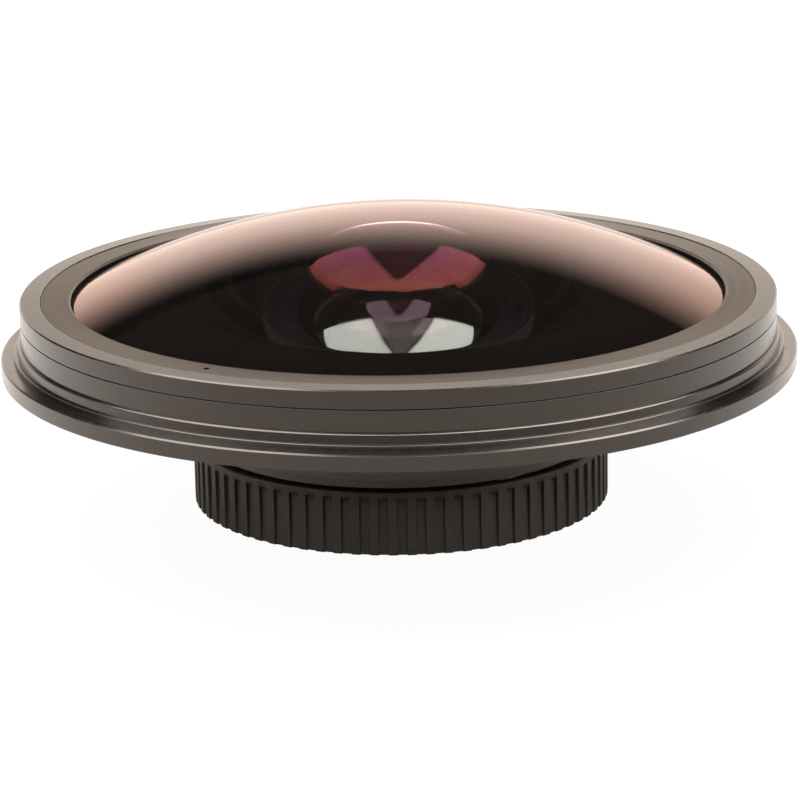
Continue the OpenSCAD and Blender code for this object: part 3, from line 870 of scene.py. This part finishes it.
# Low walls at the sides: dim in mirrors, and brighter in front where the glass shows them
SIDE_X = 2.2
SIDE_HIGH = 0.6
SIDE_FRONT = -2.0
SIDE_BACK = 1.2
for side, mirror in (("left", -1), ("right", 1)):
    quad = [
        (mirror * SIDE_X, SIDE_FRONT, 0), (mirror * SIDE_X, SIDE_BACK, 0),
        (mirror * SIDE_X, SIDE_BACK, SIDE_HIGH), (mirror * SIDE_X, SIDE_FRONT, SIDE_HIGH),
    ]
    top_fade = [((mirror * SIDE_X, 0, SIDE_HIGH), (0, 0, -1), 0.3)]
    card("side_" + side, quad, 0.9, (1, 0.82, 0.70), top_fade, seen=("mirror",))
    low_fade = [((mirror * SIDE_X, 0, 0), (0, 0, 1), 0.3)]
    near_quad = [quad[0], (mirror * SIDE_X, 0, 0), (mirror * SIDE_X, 0, SIDE_HIGH), quad[3]]
    card("side_in_glass_" + side, near_quad, 7.0, (1, 0.9, 0.8), low_fade, seen=("glass",), deep=0.03)

# Backdrop, lit low down and fading upwards
BACKDROP_Y = 1.3
BACKDROP_HALF = 1.5
BACKDROP_HIGH = 0.93
BACKDROP_GLOW = 1.9
card(
    "backdrop",
    [
        (-BACKDROP_HALF, BACKDROP_Y, 0), (BACKDROP_HALF, BACKDROP_Y, 0),
        (BACKDROP_HALF, BACKDROP_Y, BACKDROP_HIGH), (-BACKDROP_HALF, BACKDROP_Y, BACKDROP_HIGH),
    ],
    BACKDROP_GLOW, (1, 0.87, 0.76), [((0, BACKDROP_Y, BACKDROP_HIGH), (0.15, 0, -1), 0.6)], deep=0.06,
)


def floor_material():
    """Pale table: white to the eye with a faint shadow, and warmer in mirrors and glass."""
    material = bpy.data.materials.new("table")
    material.use_nodes = True
    tree = material.node_tree
    tree.nodes.clear()

    def pale(colour):
        node = tree.nodes.new("ShaderNodeBsdfDiffuse")
        node.inputs["Color"].default_value = (*colour, 1)
        return node.outputs[0]

    def glow(colour):
        node = tree.nodes.new("ShaderNodeEmission")
        node.inputs["Color"].default_value = (*colour, 1)
        return node.outputs[0]

    def choose(factor, first, second):
        node = tree.nodes.new("ShaderNodeMixShader")
        tree.links.new(factor, node.inputs[0])
        tree.links.new(first, node.inputs[1])
        tree.links.new(second, node.inputs[2])
        return node.outputs[0]

    def both(first, second):
        node = tree.nodes.new("ShaderNodeAddShader")
        tree.links.new(first, node.inputs[0])
        tree.links.new(second, node.inputs[1])
        return node.outputs[0]

    to_eye = both(pale((0.05, 0.05, 0.05)), glow((0.965, 0.965, 0.965)))
    near_side = edge_fade(tree, (0, 0.25, 0), (0, -1, 0), 0.35)
    near_part = both(pale((0.66, 0.63, 0.60)), glow((0.16, 0.153, 0.145)))
    far_in = tree.nodes.new("ShaderNodeMath")
    far_in.operation = "GREATER_THAN"
    tree.links.new(light_path(tree, "Transmission Depth"), far_in.inputs[0])
    far_in.inputs[1].default_value = DEEP_FACES + 0.5
    in_mirrors = choose(near_side, glow((1.2, 1.10, 1.02)), near_part)
    in_depth = choose(far_in.outputs[0], in_mirrors, glow((0.2, 0.18, 0.17)))
    by_shine = light_path(tree, "Is Glossy Ray", "Is Transmission Ray")
    lit = choose(by_shine, pale((0.75, 0.75, 0.75)), in_depth)
    out = tree.nodes.new("ShaderNodeOutputMaterial")
    tree.links.new(choose(light_path(tree, "Is Camera Ray"), lit, to_eye), out.inputs[0])
    return material


def table():
    half = 4.0
    mesh = bpy.data.meshes.new("table")
    below = -0.02 * MM
    corners = [(-half, -half, below), (half, -half, below), (half, half, below), (-half, half, below)]
    mesh.from_pydata(corners, [], [(0, 1, 2, 3)])
    mesh.materials.append(floor_material())
    obj = bpy.data.objects.new("table", mesh)
    bpy.context.scene.collection.objects.link(obj)


def dark_room():
    """Dim walls round the studio for mirrors and glass, so that these show its lamps and not the world."""
    mesh = bpy.data.meshes.new("dark_room")
    side, height = 4.0, 4.0
    verts = [(x * side, y * side, z * height) for z in (-1, 1) for y in (-1, 1) for x in (-1, 1)]
    faces = [(0, 1, 3, 2), (4, 6, 7, 5), (0, 4, 5, 1), (2, 3, 7, 6), (0, 2, 6, 4), (1, 5, 7, 3)]
    mesh.from_pydata(verts, [], faces)
    material = bpy.data.materials.new("dark_room")
    material.use_nodes = True
    tree = material.node_tree
    tree.nodes.clear()
    glow = tree.nodes.new("ShaderNodeEmission")
    glow.inputs["Color"].default_value = (0.04, 0.034, 0.030, 1)
    out = tree.nodes.new("ShaderNodeOutputMaterial")
    tree.links.new(glow.outputs[0], out.inputs[0])
    mesh.materials.append(material)
    obj = bpy.data.objects.new("dark_room", mesh)
    bpy.context.scene.collection.objects.link(obj)
    obj.visible_camera = False
    obj.visible_diffuse = False
    obj.visible_shadow = False


def surroundings():
    """White to the eye, with a little even light on the object."""
    world = bpy.data.worlds.new("surroundings")
    bpy.context.scene.world = world
    world.use_nodes = True
    tree = world.node_tree
    tree.nodes.clear()
    even = tree.nodes.new("ShaderNodeBackground")
    even.inputs["Strength"].default_value = 0.25
    white = tree.nodes.new("ShaderNodeBackground")
    white.inputs["Strength"].default_value = 1.0
    choice = tree.nodes.new("ShaderNodeMixShader")
    seen = light_path(tree, "Is Camera Ray", "Is Glossy Ray", "Is Transmission Ray")
    tree.links.new(seen, choice.inputs[0])
    tree.links.new(even.outputs[0], choice.inputs[1])
    tree.links.new(white.outputs[0], choice.inputs[2])
    out = tree.nodes.new("ShaderNodeOutputWorld")
    tree.links.new(choice.outputs[0], out.inputs[0])


table()
dark_room()
surroundings()

# Camera, fitted to the photographed outline: it looks down a little and leans by about a degree
VIEW_ELEVATION = math.radians(15.99)
VIEW_DISTANCE = 653.5
VIEW_TARGET = 17.83
VIEW_LEAN = math.radians(-1.07)
LENS_MM = 156.48
camera_data = bpy.data.cameras.new("camera")
camera_data.lens = LENS_MM
camera = bpy.data.objects.new("camera", camera_data)
bpy.context.scene.collection.objects.link(camera)
toward = Vector((0, math.cos(VIEW_ELEVATION), -math.sin(VIEW_ELEVATION)))
camera.location = (Vector((0, 0, VIEW_TARGET)) - toward * VIEW_DISTANCE) * MM
level = toward.to_track_quat("-Z", "Y").to_matrix()
camera.rotation_euler = (level @ Matrix.Rotation(VIEW_LEAN, 3, "Z")).to_euler()
bpy.context.scene.camera = camera
bpy.context.scene.view_settings.view_transform = "Standard"
